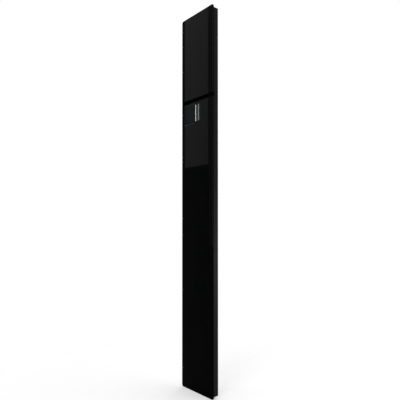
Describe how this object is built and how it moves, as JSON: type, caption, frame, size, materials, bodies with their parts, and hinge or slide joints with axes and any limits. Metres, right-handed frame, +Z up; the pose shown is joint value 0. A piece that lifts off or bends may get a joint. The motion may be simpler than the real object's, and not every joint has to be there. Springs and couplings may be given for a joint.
{
  "type": "wall-hung panel air purifier",
  "caption": "Slim tall wall-hung air purifier: black glass front, hinged filter door with display, outlet slot with linked louvre vanes, drum blower and pleated filters.",
  "frame": {"origin": "middle of the upper wall plate's back face, on the wall", "axes": "+Z up along the tall side, -Y out of the glass front into the room, +Y into the wall, +X to the right seen from the front"},
  "size_m": [0.26, 0.041, 2],
  "materials": {
    "black_glass": "mirror-gloss black back-painted glass",
    "display_glass": "dark blue-grey display glass",
    "carrier_black": "fine matt black powder coat",
    "housing_grey": "dark grey satin coat",
    "zinc_steel": "zinc-plated sheet steel",
    "black_plastic": "fine-grained moulded black plastic",
    "pale_plastic": "off-white moulded plastic",
    "filter_paper": "white folded fibre sheet",
    "seal_foam": "soft black foam rubber",
    "lead_cover": "smooth black lead sleeve",
    "magnet_black": "black housed magnet",
    "indicator_grey": "dark grey satin inset",
    "satin_metal": "satin metal",
    "satin_dark": "darker satin metal",
    "board_green": "circuit board with parts"
  },
  "bodies": {
    "root": {"blower_inlet_plate": "zinc_steel", "blower_scroll": "black_plastic", "board_lead": "lead_cover", "bottom_cap": "housing_grey", "catch_magnet_lower": "magnet_black", "catch_magnet_upper": "magnet_black", "control_board": "board_green", "display_bay_cover": "black_plastic", "dust_sensor": "zinc_steel", "filter_frame_lower": "pale_plastic", "filter_frame_upper": "pale_plastic", "filter_media_lower": "filter_paper", "filter_media_upper": "filter_paper", "filter_seal_lower": "seal_foam", "filter_seal_upper": "seal_foam", "filter_seat": "zinc_steel", "hinge_bracket_lower": "zinc_steel", "hinge_bracket_middle": "zinc_steel", "hinge_bracket_upper": "zinc_steel", "hinge_pin_lower": "zinc_steel", "hinge_pin_middle": "zinc_steel", "hinge_pin_upper": "zinc_steel", "left_rail": "housing_grey", "louvre_motor": "zinc_steel", "lower_divider": "zinc_steel", "lower_wall_plate": "zinc_steel", "mains_inlet": "black_plastic", "mains_lead": "lead_cover", "motor_stator": "zinc_steel", "outlet_bezel": "black_plastic", "outlet_duct": "black_plastic", "outlet_nozzle": "black_plastic", "power_supply": "zinc_steel", "prefilter_lower": "black_plastic", "prefilter_upper": "black_plastic", "rear_panel": "zinc_steel", "right_rail": "housing_grey", "service_cover": "black_plastic", "top_cap": "housing_grey", "upper_carrier": "carrier_black", "upper_divider": "zinc_steel", "upper_glass": "black_glass", "upper_wall_plate": "zinc_steel"},
    "door": {"lower_glass": "black_glass", "lower_carrier": "carrier_black", "display_pane": "display_glass", "display_module": "black_plastic", "indicator_plate": "indicator_grey", "indicator_bar_left": "satin_metal", "indicator_bar_right": "satin_dark", "catch_plate_lower": "zinc_steel", "catch_plate_upper": "zinc_steel", "hinge_leaf_lower": "zinc_steel", "hinge_leaf_middle": "zinc_steel", "hinge_leaf_upper": "zinc_steel"},
    "blower_drum": {"impeller": "black_plastic", "motor_rotor": "zinc_steel"},
    "louvre_upper": {"louvre_vane_upper": "black_plastic"},
    "louvre_lower": {"louvre_vane_lower": "black_plastic"},
    "louvre_link": {"louvre_link": "satin_metal"}
  },
  "joints": [
    {"name": "door_hinge", "type": "hinge", "parent": "root", "child": "door", "pos_m": [-0.125, -0.03, -1.1445], "axis": [0, 0, -1], "range_deg": [0, 100]},
    {"name": "impeller_spin", "type": "hinge", "parent": "root", "child": "blower_drum", "pos_m": [0.008, -0.02, -0.186], "axis": [0, -1, 0], "continuous": true},
    {"name": "louvre_lower_turn", "type": "hinge", "parent": "root", "child": "louvre_lower", "pos_m": [0, -0.026, -0.37257], "axis": [-1, 0, 0], "range_deg": [0, 80]},
    {"name": "louvre_upper_turn", "type": "hinge", "parent": "root", "child": "louvre_upper", "pos_m": [0, -0.026, -0.36442], "axis": [-1, 0, 0], "range_deg": [0, 80]},
    {"name": "louvre_link_turn", "type": "hinge", "parent": "louvre_lower", "child": "louvre_link", "pos_m": [-0.113, -0.022, -0.37257], "axis": [-1, 0, 0], "range_deg": [-80, 0]}
  ],
  "couplings": [
    {"joint": "louvre_upper_turn", "follows": "louvre_lower_turn", "ratio": 1},
    {"joint": "louvre_link_turn", "follows": "louvre_lower_turn", "ratio": -1}
  ]
}
